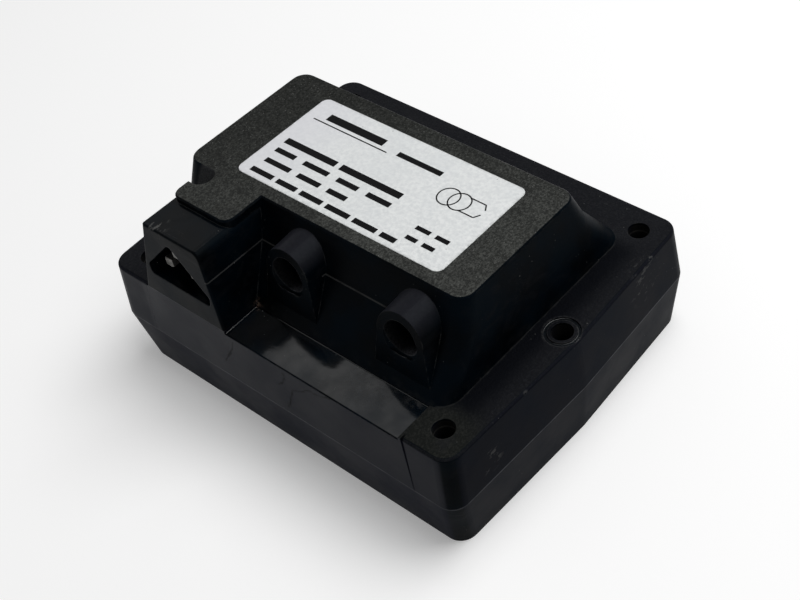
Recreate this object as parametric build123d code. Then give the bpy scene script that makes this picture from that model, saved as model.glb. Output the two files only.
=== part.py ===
from build123d import *
import os

# Ignition transformer in millimetres. X runs along the long side, Y from the front with the
# towers to the back, Z up. The origin is the middle of the footprint, on the surface it stands on.

# Skirt: the deep flange round the windings, widest at its parting line
flange_top = 33.0
parting_height = flange_top / 2
half_length = 59.3
half_width = 44.9
end_bow = 1.9
flare_x = 0.8
flare_y = 1.6
draw_in = 1.9
corner_radius = 4.6
bow_radius = 14.0
skirt_edge = 0.9

# Walls, fill and fits
wall = 2.5
fill_level = 1.0
fit = 0.2

# Hump: drafted block on the flange, with a change of draft at the height of the tower axes
crease_rise = 13.2
top_rise = 9.8
hump_inset_x = 11.4
hump_inset_y = 10.5
crease_draft_x = 1.3
crease_draft_y = 9.3
top_draft_x = 1.0
top_draft_y = 4.4
crease_height = flange_top + crease_rise
hump_top = crease_height + top_rise
hump_base_x = half_length - hump_inset_x
hump_base_y = half_width - hump_inset_y
hump_crease_x = hump_base_x - crease_draft_x
hump_crease_y = hump_base_y - crease_draft_y
hump_top_x = hump_crease_x - top_draft_x
hump_top_y = hump_crease_y - top_draft_y
hump_base_radius = 5.5
hump_top_radius = 4.0
hump_edge = 0.4

# Inlet tower and the wing that carries the flat top out over it
tower_inset = 16.7
tower_width = 28.7
tower_proud = 0.25
tower_draft_left = 4.4
tower_draft_crease = 2.9
tower_draft_right = 4.5
tower_draft_front = 2.95
tower_edge = 0.6
roof_drop = 1.8
roof_round = 2.6
roof_height = hump_top - roof_drop
tower_left_base = tower_inset - half_length
tower_left_top = tower_left_base + tower_draft_left
tower_right_base = tower_left_base + tower_width
tower_right_crease = tower_right_base - tower_draft_crease
tower_right_top = tower_right_base - tower_draft_right
tower_front_base = -half_width - tower_proud
tower_front_top = tower_front_base + tower_draft_front
wing_setback = 10.0
wing_front = tower_front_top + wing_setback
wing_overhang = 0.3
wing_radius = 2.8
relief_radius = 3.2
relief_depth = 6.0
relief_inset = 1.5
relief_outset = 2.7
relief_x = tower_left_top + relief_inset
relief_y = -hump_top_y - relief_outset
relief_floor = hump_top - relief_depth

# Front panel between the slide seams, and the smooth ledge in front of the hump
panel_inset_left = 14.4
panel_inset_right = 13.5
panel_inset_top = 15.4
panel_depth = 6.0
ledge_inset = 16.3
ledge_step_back = 0.3
ledge_step_front = 0.9
panel_left_foot = panel_inset_left - half_length
panel_right_foot = half_length - panel_inset_right
panel_right_top = half_length - panel_inset_top
ledge_right = half_length - ledge_inset

# Screw holes: four at the corners and one in the middle of each short end
hole_inset_x = 9.3
hole_inset_y = 7.4
mid_hole_inset = 4.8
hole_spacing_x = 2 * (half_length - hole_inset_x)
hole_spacing_y = 2 * (half_width - hole_inset_y)
mid_hole_spacing = 2 * (half_length - mid_hole_inset)
hole_radius = 2.8
boss_wall = 2.2
washer_ring_step = 0.35
washer_ring_width = 0.9
washer_inner_radius = hole_radius + washer_ring_width
washer_ring_radius = washer_inner_radius + washer_ring_width

# High-voltage towers, each placed from the nearer end of the housing
hv_inset_left = 56.8
hv_inset_right = 25.8
hv_centre = (hv_inset_left - hv_inset_right) / 2
hv_spacing = 2 * half_length - hv_inset_left - hv_inset_right
hv_bore_radius = 4.8
hv_bore_depth = 12.5
hv_bore_chamfer = 0.5
hv_well_radius = 3.6
hv_well_depth = 8.5
hv_end_wall = 2.6
hv_tube_wall = 2.0
hv_face_wall = 2.1
hv_root_growth = 0.8
hv_leg_spread = 2.0
hv_radius_face = hv_bore_radius + hv_face_wall
hv_radius_root = hv_radius_face + hv_root_growth
hv_leg_foot = hv_radius_face + hv_leg_spread
hv_setback = 12.05
hv_face_foot = hv_setback - half_width
hv_face_lean = 0.17

# Inlet opening: a triangle with rounded corners, narrow corner up
opening_inset = 4.0
opening_width = 21.3
opening_bulge_left = 0.8
opening_bulge_right = 0.4
opening_apex_offset = 9.0
opening_drop = 7.3
opening_shoulder_rise = 2.7
opening_rise = 12.7
opening_base_left = tower_left_base + opening_inset
opening_base_right = opening_base_left + opening_width
opening_left = opening_base_left - opening_bulge_left
opening_right = opening_base_right + opening_bulge_right
opening_apex_x = opening_base_left + opening_apex_offset
opening_base = crease_height - opening_drop
opening_shoulder = opening_base + opening_shoulder_rise
opening_apex = opening_base + opening_rise
opening_radius = 1.3
opening_depth = 15.0
inlet_wall = 2.0

# Label
label_margin_x = 12.3
label_margin_y = 4.5
label_length = 2 * (hump_top_x - label_margin_x)
label_width = 2 * (hump_top_y - label_margin_y)
label_radius = 3.4
label_thickness = 0.2
label_x = 1.8
label_y = -0.8

# Core of E and I laminations, lying flat: the limbs and windows share out the width
core_stack = 14.0
core_side = 17.9
core_end = 28.3
limb_outer = (half_width - core_side) / 3
limb_centre = 2 * limb_outer
window_width = limb_outer
window_length = 2 * (half_length - core_end)
yoke = 9.0
band_thickness = 0.8
band_width = 10.0

# Windings on the centre limb
bobbin_wall = 1.2
bobbin_gap = 0.8
bobbin_flange = window_width - bobbin_gap
primary_length = 19.0
shunt_length = 2.8
shunt_gap = 0.4
winding_gap = 3.0
winding_build = window_width - winding_gap
wrap_thickness = 0.4
chambers = 4
chamber_wall = 0.8

# The core hangs under the tubes of the towers, which run out over the windings
tube_gap = 1.0
winding_reach = core_stack / 2 + fit + bobbin_wall + winding_build
core_height = crease_height - hv_bore_radius - hv_tube_wall - tube_gap - winding_reach

# Conductors, in rows behind the ends of the tower tubes
pin_size = 2.4
pin_tip = 3.5
pin_tail = 3.0
pin_rise = 3.7
pin_apex_rise = 4.8
pin_base_spread = 9.0
pin_base_height = opening_base + pin_rise
pin_apex_height = pin_base_height + pin_apex_rise
pin_edge = 0.4
hv_pin_radius = 1.6
hv_pin_step = 0.5
lead_radius = 0.9
hv_lead_radius = 1.3
row_gap = 0.7
mains_drop_x = 5.0
earth_drop_inset = 2.5
earth_turn = 11.0
link_rise = 4.0


def plan(out_x, out_y, inset=0.0):
    """Outline of the skirt: long sides straight, short ends bowed out to a soft middle corner."""
    x = half_length + out_x - inset
    y = half_width + out_y - inset
    outline = Polygon(
        (x, 0), (x - end_bow, y), (end_bow - x, y), (-x, 0), (end_bow - x, -y), (x - end_bow, -y),
        align=None,
    )
    corners = outline.vertices().filter_by(lambda v: abs(v.Y) > hump_base_y)
    outline = fillet(corners, corner_radius - min(inset, corner_radius / 2))
    ends = outline.vertices().filter_by(lambda v: abs(v.Y) < corner_radius)
    return fillet(ends, bow_radius)


def level(outline, height):
    return Pos(0, 0, height) * outline


def span(x0, x1, y0, y1, radius=0.0):
    """Rectangle between four sides, with rounded corners where a radius is given."""
    width = x1 - x0
    depth = y1 - y0
    outline = RectangleRounded(width, depth, radius) if radius else Rectangle(width, depth)
    return Pos((x0 + x1) / 2, (y0 + y1) / 2) * outline


def block(x0, x1, y0, y1, z0, z1):
    return Pos(0, 0, z0) * extrude(span(x0, x1, y0, y1), z1 - z0)


def rod_y(x, z, radius, y0, y1):
    """Round rod along Y between two stations."""
    return extrude(Plane((x, y0, z), z_dir=(0, 1, 0)) * Circle(radius), y1 - y0)


def between(low, high, share):
    return low + (high - low) * share


def screw_places():
    corners = GridLocations(hole_spacing_x, hole_spacing_y, 2, 2)
    middles = GridLocations(mid_hole_spacing, 1, 2, 1)
    return corners.locations + middles.locations


def hv_places():
    return {"left": hv_centre - hv_spacing / 2, "right": hv_centre + hv_spacing / 2}


def hv_face(height):
    """Y of the leaning front face of a high-voltage tower at a height."""
    return hv_face_foot + hv_face_lean * (height - flange_top)


def skirt():
    foot = level(plan(flare_x - draw_in, flare_y - draw_in), 0)
    line = level(plan(flare_x, flare_y), parting_height)
    top = level(plan(0, 0), flange_top)
    body = loft([foot, line], ruled=True) + loft([line, top], ruled=True)
    rim = body.faces().sort_by(Axis.Z)[-1].edges()
    body = fillet(rim, skirt_edge)
    return body + front_panel() - ledge_cut()


def front_panel():
    """Flat panel that the side slide forms: a shade proud of the corners, flush at the parting line."""
    front_foot = -half_width - flare_y
    foot = span(panel_left_foot, panel_right_foot, front_foot, front_foot + panel_depth)
    top = span(tower_left_base, panel_right_top, tower_front_base, tower_front_base + panel_depth)
    return loft([level(foot, parting_height), level(top, flange_top)], ruled=True)


def ledge_cut():
    """Ledge in front of the hump, lower than the corner pads and falling to the front."""
    section = Polygon(
        (tower_front_base - wall, flange_top - ledge_step_front),
        (-hump_top_y, flange_top - ledge_step_back),
        (-hump_top_y, flange_top + wall),
        (tower_front_base - wall, flange_top + wall),
        align=None,
    )
    plane = Plane((tower_right_base, 0, 0), x_dir=(0, 1, 0), z_dir=(1, 0, 0))
    return extrude(plane * section, ledge_right - tower_right_base)


def hump(inset=0.0, foot=flange_top):
    base = RectangleRounded(
        2 * (hump_base_x - inset), 2 * (hump_base_y - inset), hump_base_radius
    )
    crease = RectangleRounded(
        2 * (hump_crease_x - inset), 2 * (hump_crease_y - inset), hump_base_radius
    )
    top = RectangleRounded(2 * (hump_top_x - inset), 2 * (hump_top_y - inset), hump_top_radius)
    rim_height = hump_top - inset - hump_edge
    root = extrude(level(base, foot - wall), wall)
    lower = loft([level(base, foot), level(crease, crease_height)], ruled=True)
    upper = loft([level(crease, crease_height), level(top, rim_height)], ruled=True)
    bevelled = RectangleRounded(
        2 * (hump_top_x - inset - hump_edge), 2 * (hump_top_y - inset - hump_edge),
        hump_top_radius - hump_edge,
    )
    rim = loft([level(top, rim_height), level(bevelled, hump_top - inset)], ruled=True)
    return root + lower + upper + rim


def inlet_tower():
    """Block on the left with the inlet in its front, and the wing over its back half."""
    rise = roof_height - flange_top
    share = (crease_height - flange_top) / rise
    back = -hump_top_y / 2
    left_crease = between(tower_left_base, tower_left_top, share)
    front_crease = between(tower_front_base, tower_front_top, share)
    base = span(tower_left_base, tower_right_base, tower_front_base, back)
    crease = span(left_crease, tower_right_crease, front_crease, back)
    roof = span(tower_left_top, tower_right_top, tower_front_top, back)
    body = loft([level(base, flange_top), level(crease, crease_height)], ruled=True)
    body += loft([level(crease, crease_height), level(roof, roof_height)], ruled=True)
    shoulder = body.edges().filter_by(Axis.Y).sort_by(Axis.Z)[-2:].sort_by(Axis.X)[-1]
    body = fillet(shoulder, roof_round)
    front = body.faces().sort_by(Axis.Y)[:2].edges()
    rim = front.filter_by(lambda e: min(e.center().Z - flange_top, abs(e.center().Z - crease_height)) > fit)
    body = fillet(rim, tower_edge)
    return body + wing() + extrude(level(base, flange_top - wall), wall)


def wing_outline(inset=0.0):
    """Outline of the wing, rounded at its front corners and running back into the hump."""
    back = -hump_top_y / 2
    outline = span(
        tower_left_top - wing_overhang + inset, tower_right_top - inset, wing_front + inset, back
    )
    front = outline.vertices().sort_by(Axis.Y)[:2]
    return fillet(front, wing_radius - inset)


def wing():
    """Wing flush with the flat top, with the same bevelled rim."""
    foot = roof_height - hump_edge
    rim_height = hump_top - hump_edge
    body = extrude(level(wing_outline(), foot), rim_height - foot)
    return body + loft(
        [level(wing_outline(), rim_height), level(wing_outline(hump_edge), hump_top)], ruled=True
    )


def relief():
    """Round relief where the wing leaves the corner of the hump."""
    height = hump_top - relief_floor
    hole = Pos(relief_x, relief_y, relief_floor) * Cylinder(
        relief_radius, height, align=(Align.CENTER, Align.CENTER, Align.MIN)
    )
    mouth = block(
        tower_left_top - relief_radius, relief_x, relief_y - relief_radius, relief_y + relief_radius,
        relief_floor, hump_top,
    )
    return (hole + mouth) - hump()


def hv_outline(radius, growth):
    """Tower section: round over the axis, straight legs that spread below it."""
    foot = flange_top - crease_height
    arch = Circle(radius)
    legs = Polygon(
        (radius, 0), (-radius, 0), (-growth * hv_leg_foot, foot), (growth * hv_leg_foot, foot),
        align=None,
    )
    return arch + legs


def hv_tower(x):
    """Drafted tower, cut off in front by a face that leans back."""
    start = hv_face_foot
    stop = -hump_top_y + wall
    face = Plane((x, start, crease_height), x_dir=(-1, 0, 0), z_dir=(0, 1, 0))
    root = Plane((x, stop, crease_height), x_dir=(-1, 0, 0), z_dir=(0, 1, 0))
    spread = hv_radius_root / hv_radius_face
    body = loft(
        [face * hv_outline(hv_radius_face, 1.0), root * hv_outline(hv_radius_root, spread)],
        ruled=True,
    )
    reach = hump_top - flange_top
    front = Polygon(
        (hv_face(flange_top), flange_top), (hv_face(hump_top), hump_top),
        (hv_face(flange_top) - reach, hump_top), (hv_face(flange_top) - reach, flange_top),
        align=None,
    )
    side = Plane((x - reach, 0, 0), x_dir=(0, 1, 0), z_dir=(1, 0, 0))
    return body - extrude(side * front, 2 * reach)


def hv_step():
    """Y where a tower's bore narrows to the well round its pin."""
    return hv_face(crease_height) + hv_bore_depth


def hv_floor():
    return hv_step() + hv_well_depth


def hv_bore(x):
    """Bore for a plug, the narrower well behind it, and a bevelled mouth."""
    mouth = hv_face(crease_height)
    bore = rod_y(x, crease_height, hv_bore_radius, hv_face_foot - wall, hv_step())
    well = rod_y(x, crease_height, hv_well_radius, hv_step(), hv_floor())
    bevel = Plane((x, mouth, crease_height), z_dir=(0, 1, 0)) * Cone(
        hv_bore_radius + 2 * hv_bore_chamfer, hv_bore_radius - hv_bore_chamfer, 3 * hv_bore_chamfer
    )
    return bore + well + bevel


def hv_inner_tube(x):
    """Closed tube inside the hump that carries the bore on past the wall."""
    radius = hv_bore_radius + hv_tube_wall
    return rod_y(x, crease_height, radius, hv_face_foot, hv_floor() + hv_end_wall)


def opening_outline():
    points = [
        (opening_base_left, opening_base), (opening_base_right, opening_base),
        (opening_right, opening_shoulder), (opening_apex_x, opening_apex),
        (opening_left, opening_shoulder),
    ]
    outline = Polygon(*points, align=None)
    return fillet(outline.vertices(), opening_radius)


def opening_floor():
    return tower_front_base + opening_depth


def inlet_opening():
    plane = Plane((0, opening_floor(), 0), x_dir=(1, 0, 0), z_dir=(0, -1, 0))
    return extrude(plane * opening_outline(), opening_depth + wall)


def cavity():
    """Hollow of the housing, open below: skirt, hump and the room behind and under the inlet."""
    foot = level(plan(flare_x - draw_in, flare_y - draw_in, wall), 0)
    line = level(plan(flare_x, flare_y, wall), parting_height)
    top = level(plan(0, 0, wall), flange_top - wall)
    room = loft([foot, line], ruled=True) + loft([line, top], ruled=True)
    room += hump(wall, flange_top - wall)
    behind = opening_floor() + inlet_wall
    room += block(
        tower_left_top + wall, tower_right_top - wall, behind, -hump_top_y / 2,
        flange_top - 2 * wall, relief_floor - wall,
    )
    room += block(
        relief_x + relief_radius + wall, tower_right_top - wall, behind, -hump_top_y / 2,
        flange_top - 2 * wall, roof_height - wall,
    )
    room += block(
        tower_left_base + wall, tower_right_base - wall, tower_front_base + wall, behind,
        flange_top - 2 * wall, opening_base - inlet_wall,
    )
    for place in screw_places():
        room -= place * Cylinder(
            hole_radius + boss_wall, flange_top, align=(Align.CENTER, Align.CENTER, Align.MIN)
        )
    for x in hv_places().values():
        room -= hv_inner_tube(x)
    return room


def screw_hole():
    return Cylinder(hole_radius, 2 * flange_top + 2 * wall)


def washer_groove():
    ring = Circle(washer_ring_radius) - Circle(washer_inner_radius)
    return extrude(level(ring, flange_top - washer_ring_step), washer_ring_step + wall)


def make_housing():
    body = skirt() + hump() + inlet_tower()
    for x in hv_places().values():
        body += hv_tower(x)
    body -= cavity()
    body -= relief()
    body -= inlet_opening()
    for x in hv_places().values():
        body -= hv_bore(x)
        body -= hv_pin_body(x)
    for place in screw_places():
        body -= place * screw_hole()
    for x in (-mid_hole_spacing / 2, mid_hole_spacing / 2):
        body -= Pos(x, 0, 0) * washer_groove()
    for name in pin_places():
        body -= inlet_pin(name)
    return body


def make_label():
    outline = Pos(label_x, label_y, hump_top) * RectangleRounded(
        label_length, label_width, label_radius
    )
    return extrude(outline, label_thickness)


def core_e():
    """E stack: a yoke on the left and three limbs."""
    half = window_length / 2
    low = core_height - core_stack / 2
    high = core_height + core_stack / 2
    depth = limb_centre / 2 + window_width + limb_outer
    body = block(-half - yoke, half, -depth, depth, low, high)
    for side in (-1, 1):
        near = side * limb_centre / 2
        far = side * (limb_centre / 2 + window_width)
        body -= block(-half, half, min(near, far), max(near, far), low, high)
    return body


def core_i():
    half = window_length / 2
    depth = limb_centre / 2 + window_width + limb_outer
    low = core_height - core_stack / 2
    return block(half, half + yoke, -depth, depth, low, low + core_stack)


def core_band():
    """Steel band round both stacks."""
    length = window_length + 2 * yoke
    width = limb_centre + 2 * (window_width + limb_outer)
    ring = Rectangle(length + 2 * band_thickness, width + 2 * band_thickness)
    ring -= Rectangle(length, width)
    return extrude(level(ring, core_height - band_width / 2), band_width)


def shunt(side_x, side_y):
    """Shunt pack between the primary and a secondary, a small gap short of both limbs."""
    start = primary_length / 2 + fit
    stop = start + shunt_length
    near = limb_centre / 2 + shunt_gap
    far = limb_centre / 2 + window_width - shunt_gap
    x = sorted((side_x * start, side_x * stop))
    y = sorted((side_y * near, side_y * far))
    low = core_height - core_stack / 2
    return block(x[0], x[1], y[0], y[1], low, low + core_stack)


def limb_ring(x0, x1, inner, outer):
    """Rectangular ring round the centre limb, given by its distances from the limb's faces."""
    face = Plane((x0, 0, core_height), x_dir=(0, 1, 0), z_dir=(1, 0, 0))
    ring = Rectangle(limb_centre + 2 * outer, core_stack + 2 * outer)
    ring -= Rectangle(limb_centre + 2 * inner, core_stack + 2 * inner)
    return extrude(face * ring, x1 - x0)


def bobbin(x0, x1, rooms):
    """Bobbin with a flange at each end and walls between its chambers."""
    body = limb_ring(x0, x1, fit, fit + bobbin_wall)
    body += limb_ring(x0, x0 + bobbin_wall, fit, bobbin_flange)
    body += limb_ring(x1 - bobbin_wall, x1, fit, bobbin_flange)
    for start, stop in chamber_spans(x0, x1, rooms)[1:]:
        body += limb_ring(start - chamber_wall, start, fit, bobbin_flange)
    return body


def chamber_spans(x0, x1, rooms):
    free = x1 - x0 - 2 * bobbin_wall - (rooms - 1) * chamber_wall
    step = free / rooms
    starts = [x0 + bobbin_wall + i * (step + chamber_wall) for i in range(rooms)]
    return [(start, start + step) for start in starts]


def winding(x0, x1, rooms):
    inner = fit + bobbin_wall
    spans = chamber_spans(x0, x1, rooms)
    return Compound(children=[limb_ring(a, b, inner, inner + winding_build) for a, b in spans])


def secondary_span(side):
    near = primary_length / 2 + shunt_length + 2 * fit
    far = window_length / 2 - fit
    return sorted((side * near, side * far))


def winding_face():
    """Height of the upper face of the windings."""
    return core_height + winding_reach


def pin_places():
    return {
        "inlet_pin_line": (opening_apex_x - pin_base_spread / 2, pin_base_height),
        "inlet_pin_neutral": (opening_apex_x + pin_base_spread / 2, pin_base_height),
        "inlet_pin_earth": (opening_apex_x, pin_apex_height),
    }


def inlet_pin(name):
    """Square pin from inside the opening through its back wall."""
    x, z = pin_places()[name]
    start = tower_front_base + pin_tip
    stop = opening_floor() + inlet_wall + pin_tail
    plane = Plane((x, start, z), x_dir=(-1, 0, 0), z_dir=(0, 1, 0))
    pin = extrude(plane * Rectangle(pin_size, pin_size), stop - start)
    tip = pin.faces().sort_by(Axis.Y)[0]
    return chamfer(tip.edges(), pin_edge)


def pin_end(name):
    x, z = pin_places()[name]
    return (x, opening_floor() + inlet_wall + pin_tail, z)


def hv_pin_end(x):
    return (x, hv_floor() + hv_end_wall + pin_tail, crease_height)


def hv_pin_body(x):
    """Pin in the well of a tower, through the end wall of its tube."""
    stop = hv_pin_end(x)[1]
    return rod_y(x, crease_height, hv_pin_radius, hv_step() + hv_pin_step, stop)


def run_rows():
    """Y of each row of leads, from the ends of the tower tubes backwards."""
    neutral = hv_floor() + hv_end_wall + row_gap + lead_radius
    line = neutral + row_gap + 2 * lead_radius
    high_voltage = line + 2 * row_gap + lead_radius + hv_lead_radius
    link = high_voltage + row_gap + lead_radius + hv_lead_radius
    return {"neutral": neutral, "line": line, "high_voltage": high_voltage, "link": link}


def lead(points, radius):
    """Insulated wire along straight runs with sharp bends, which no one sees in the fill."""
    corners = [Vector(*p) for p in points]
    start = Plane(corners[0], z_dir=(corners[1] - corners[0]).normalized())
    return sweep(start * Circle(radius), path=Polyline(*corners), transition=Transition.RIGHT)


def mains_route(x, y, z, run_y, drop_x):
    """From a pin back to its run, along it, and down to the wrap of the primary winding."""
    top = winding_face() + wrap_thickness
    return [(x, y, z), (x, run_y, z), (drop_x, run_y, z), (drop_x, run_y, top)]


def lead_line():
    x, y, z = pin_end("inlet_pin_line")
    return lead(mains_route(x, y, z, run_rows()["line"], -mains_drop_x), lead_radius)


def lead_neutral():
    x, y, z = pin_end("inlet_pin_neutral")
    return lead(mains_route(x, y, z, run_rows()["neutral"], mains_drop_x), lead_radius)


def lead_earth():
    """From the earth pin down to the core."""
    x, y, z = pin_end("inlet_pin_earth")
    top = core_height + core_stack / 2
    run_y = y + earth_turn
    drop_x = earth_drop_inset - window_length / 2 - yoke
    return lead([(x, y, z), (x, run_y, z), (drop_x, run_y, z), (drop_x, run_y, top)], lead_radius)


def midpoint_link():
    """Joins the inner ends of the two secondary windings."""
    start, stop = chamber_spans(*secondary_span(1), chambers)[0]
    x = (start + stop) / 2
    y = run_rows()["link"]
    foot = winding_face()
    top = foot + link_rise
    return lead([(-x, y, foot), (-x, y, top), (x, y, top), (x, y, foot)], lead_radius)


def hv_lead(side):
    """From the outer end of a secondary winding to the pin of its tower."""
    x = hv_places()[side]
    sign = -1 if side == "left" else 1
    spans = chamber_spans(*secondary_span(sign), chambers)
    start, stop = spans[chambers // 2]
    middle = (start + stop) / 2
    y = run_rows()["high_voltage"]
    route = [
        (middle, y, winding_face()), (middle, y, crease_height), (x, y, crease_height), hv_pin_end(x),
    ]
    return lead(route, hv_lead_radius)


def make_inner_pieces():
    half = primary_length / 2
    outside = fit + bobbin_wall + winding_build
    wrap = (half - bobbin_wall, outside, outside + wrap_thickness)
    pieces = {
        "core_e_stack": core_e(),
        "core_i_stack": core_i(),
        "core_band": core_band(),
        "primary_bobbin": bobbin(-half, half, 1),
        "primary_winding": winding(-half, half, 1),
        "primary_wrap": limb_ring(-wrap[0], *wrap),
        "lead_line": lead_line(),
        "lead_neutral": lead_neutral(),
        "lead_earth": lead_earth(),
        "midpoint_link": midpoint_link(),
    }
    for name, sign in (("left", -1), ("right", 1)):
        pieces["secondary_bobbin_" + name] = bobbin(*secondary_span(sign), chambers)
        pieces["secondary_winding_" + name] = winding(*secondary_span(sign), chambers)
        pieces["hv_terminal_" + name] = hv_pin_body(hv_places()[name])
        pieces["hv_lead_" + name] = hv_lead(name)
        for row, side in (("front", -1), ("back", 1)):
            pieces["magnetic_shunt_" + row + "_" + name] = shunt(sign, side)
    for name in pin_places():
        pieces[name] = inlet_pin(name)
    return pieces


def make_resin(pieces):
    """Fill of the hollow, up to just inside the rim and close round every inner piece."""
    depth = fill_level + wall
    below = Pos(0, 0, -wall) * extrude(Rectangle(3 * half_length, 3 * half_width), depth)
    fill = cavity() - below
    for piece in pieces.values():
        fill -= piece
    return fill


def build():
    inner = make_inner_pieces()
    nodes = {"housing": make_housing(), "rating_label": make_label()}
    nodes["potting_resin"] = make_resin(inner)
    nodes.update(inner)
    os.makedirs("parts", exist_ok=True)
    for name, shape in nodes.items():
        export_step(shape, "parts/" + name + ".step")
        print(name, round(shape.volume, 1))


build()
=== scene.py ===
import math

import bmesh
import bpy
from mathutils import Matrix, Vector

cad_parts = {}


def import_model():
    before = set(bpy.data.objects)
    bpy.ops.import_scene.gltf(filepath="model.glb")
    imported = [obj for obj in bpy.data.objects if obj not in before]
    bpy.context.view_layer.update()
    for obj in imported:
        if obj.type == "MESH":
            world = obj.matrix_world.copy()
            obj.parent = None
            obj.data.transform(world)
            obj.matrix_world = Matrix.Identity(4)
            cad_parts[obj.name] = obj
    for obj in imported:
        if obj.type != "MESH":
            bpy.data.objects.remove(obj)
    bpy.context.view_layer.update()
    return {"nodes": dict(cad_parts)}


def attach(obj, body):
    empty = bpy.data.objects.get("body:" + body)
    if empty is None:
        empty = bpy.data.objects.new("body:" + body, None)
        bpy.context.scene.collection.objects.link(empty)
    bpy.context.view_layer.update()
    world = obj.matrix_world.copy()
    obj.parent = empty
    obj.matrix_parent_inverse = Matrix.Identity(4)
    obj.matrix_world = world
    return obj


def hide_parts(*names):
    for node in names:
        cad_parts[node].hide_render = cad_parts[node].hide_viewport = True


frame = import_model()

MM = 0.001

# Camera, solved from the photograph: metres, and a lens in millimetres
CAMERA_PLACE = (0.193078, -0.153025, 0.261249)
CAMERA_RIGHT = Vector((0.7865923, 0.6112986, -0.0871015))
CAMERA_UP = Vector((-0.3998801, 0.6117947, 0.6824977))
CAMERA_BACK = Vector((0.4704981, -0.5020173, 0.7256791))
CAMERA_LENS = 59.204
CAMERA_SENSOR = 36.0
CAMERA_SHIFT = (-0.17925, 0.00343)
CAMERA_CLIP = 0.01

# Floor, light and background: metres, watts
FLOOR_REACH = 3.0
PAPER = (0.9, 0.9, 0.9)
WHITE = (1.0, 1.0, 1.0)
GLOW_DISTANCE = (0.3, 1.1)
GLOW = (0.24, 0.9)
LAMP_PLACE = Vector((0.2, 0.3, 0.85))
LAMP_TARGET = Vector((0.0, 0.0, 0.03))
LAMP_SIZE = 0.7
LAMP_POWER = 6.6
SKY_LIGHT = 0.2
SKY_SEEN = 1.0

# From here on all places and sizes are in millimetres.
# Heights of the housing
FLANGE_TOP = 33.0
PARTING = 16.5
CREASE = 46.2
HUMP_TOP = 56.0

# Heights of masks, lowest and highest
TOP_Z = (HUMP_TOP - 0.7, HUMP_TOP - 0.3)
PADS_Z = (FLANGE_TOP - 0.15, FLANGE_TOP + 0.3)
LEDGE_Z = (FLANGE_TOP - 1.2, FLANGE_TOP - 0.22)
ROOF_Z = (FLANGE_TOP + 1.5, HUMP_TOP - 1.2)
RIM_Z = (FLANGE_TOP - 0.95, FLANGE_TOP)
ARCH_Z = (CREASE + 2.0, HUMP_TOP - 1.0)
CREASE_HIGHLIGHT_Z = (CREASE - 0.12, CREASE + 0.12)
FOOT_HIGHLIGHT_Z = (FLANGE_TOP + 0.05, FLANGE_TOP + 0.3)
PARTING_Z = (PARTING - 0.14, PARTING + 0.14)
HOLE_STEP_Z = (30.1, 30.6)

# Where masks that fade start and where they are full
ROOF_X = (-12.0, -14.0)
BELOW_FLANGE_Z = (FLANGE_TOP + 0.2, FLANGE_TOP - 0.2)
LOWER_Z = (PARTING + 0.1, PARTING - 0.1)
FRONT_WALL_Y = (-40.0, -41.0)
BEHIND_LEDGE_Y = (-41.5, -41.0)
RIGHT_OF_LEDGE_X = (43.7, 44.2)
LEFT_OF_LEDGE_X = (-43.0, -43.5)
LIP_Y = (-44.7, -44.95)
BESIDE_HUMP_X = (57.0, 50.5)
BESIDE_HUMP_Y = (34.0, 29.0)
FOOT_HIGHLIGHT_X = (44.0, 45.0)
FOOT_HAZE_TOP_Z = (FLANGE_TOP + 2.6, FLANGE_TOP + 0.2)
FOOT_HAZE_FOOT_Z = (FLANGE_TOP - 0.1, FLANGE_TOP + 0.1)
HOLE_EDGE = (2.95, 2.85)
HOLE_FLOOR_Z = (26.0, 30.5)
HOLE_MOUTH_Z = (32.6, 32.2)
BORE_EDGE = (5.0, 4.9)
BORE_Y = (-26.0, -30.0)
BORE_LIGHT_EDGE = (2.2, 4.2)
BORE_LIGHT_Y = (-27.0, -29.5)
ARCH_Y = (-21.0, -21.6)
SEAM_Y = (-43.0, -44.0)
WEAR_SPAN = (-12.0, 10.0)
PANEL_X = (-45.0, 40.0)
LEFT_OF_PANEL_X = (-46.0, -45.0)

# Places on the housing
TOWERS_X = (-2.5, 33.5)
BETWEEN_TOWERS_X = 15.0
ARCHES_X = (-10.5, 41.5)
SCOOP = (-36.7, -23.4)
SCOOP_EDGE = (5.0, 3.6)
SCOOP_Z = (48.5, 50.5)
CORNER_HOLE = (50.0, 37.5)
MIDDLE_HOLE_X = 54.5
WASHER_RING = (3.6, 4.9)
BACK_WALL_Y = (-26.2, -24.4)
BACK_WALL_END_X = (27.0, 26.0)
INLET_WALL_X = (-17.6, -16.0)
INLET_WALL_END_Y = (-24.0, -25.0)
WARM_PAD = ((50.0, -40.0, FLANGE_TOP), 14.0)
GLUE = ((-13.6, -33.0, FLANGE_TOP - 0.9), 3.0)
CHALK = (((59.8, 28.0, 28.0), 8.0), ((59.8, -33.0, 23.0), 5.0),
         ((-34.0, -40.5, 54.2), 3.5), ((3.4, -31.4, 50.0), 2.0))
CHIPS = (((59.4, -19.0, 33.0), 1.5), ((58.4, 31.4, 32.8), 1.3))
LEDGE_HAZE = (((27.0, -37.0, 32.5), 9.0), ((39.0, -33.0, 32.5), 5.0))
# Seams of the front panel: place at the flange, lean, half width, depth of tone
SEAMS = ((43.9, 0.115, 0.2, 1.0), (-42.6, -0.138, 0.12, 0.7))
SEAM_SOFT = 0.08
# Thin flow lines in the front wall, as chains of points across and up it
FLOW_LINES = (
    ((-11.3, 30.7), (-13.5, 26.1), (-16.8, 21.6)),
    ((5.1, 18.6), (8.6, 26.7), (12.0, 28.0), (14.3, 30.0), (18.6, 30.7), (22.3, 32.0)),
    ((5.7, 30.7), (6.3, 28.8), (3.5, 25.5)),
)
FLOW_LINE_WIDTH = 0.3
FLOW_LINE_WANDER = 2.6

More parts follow.
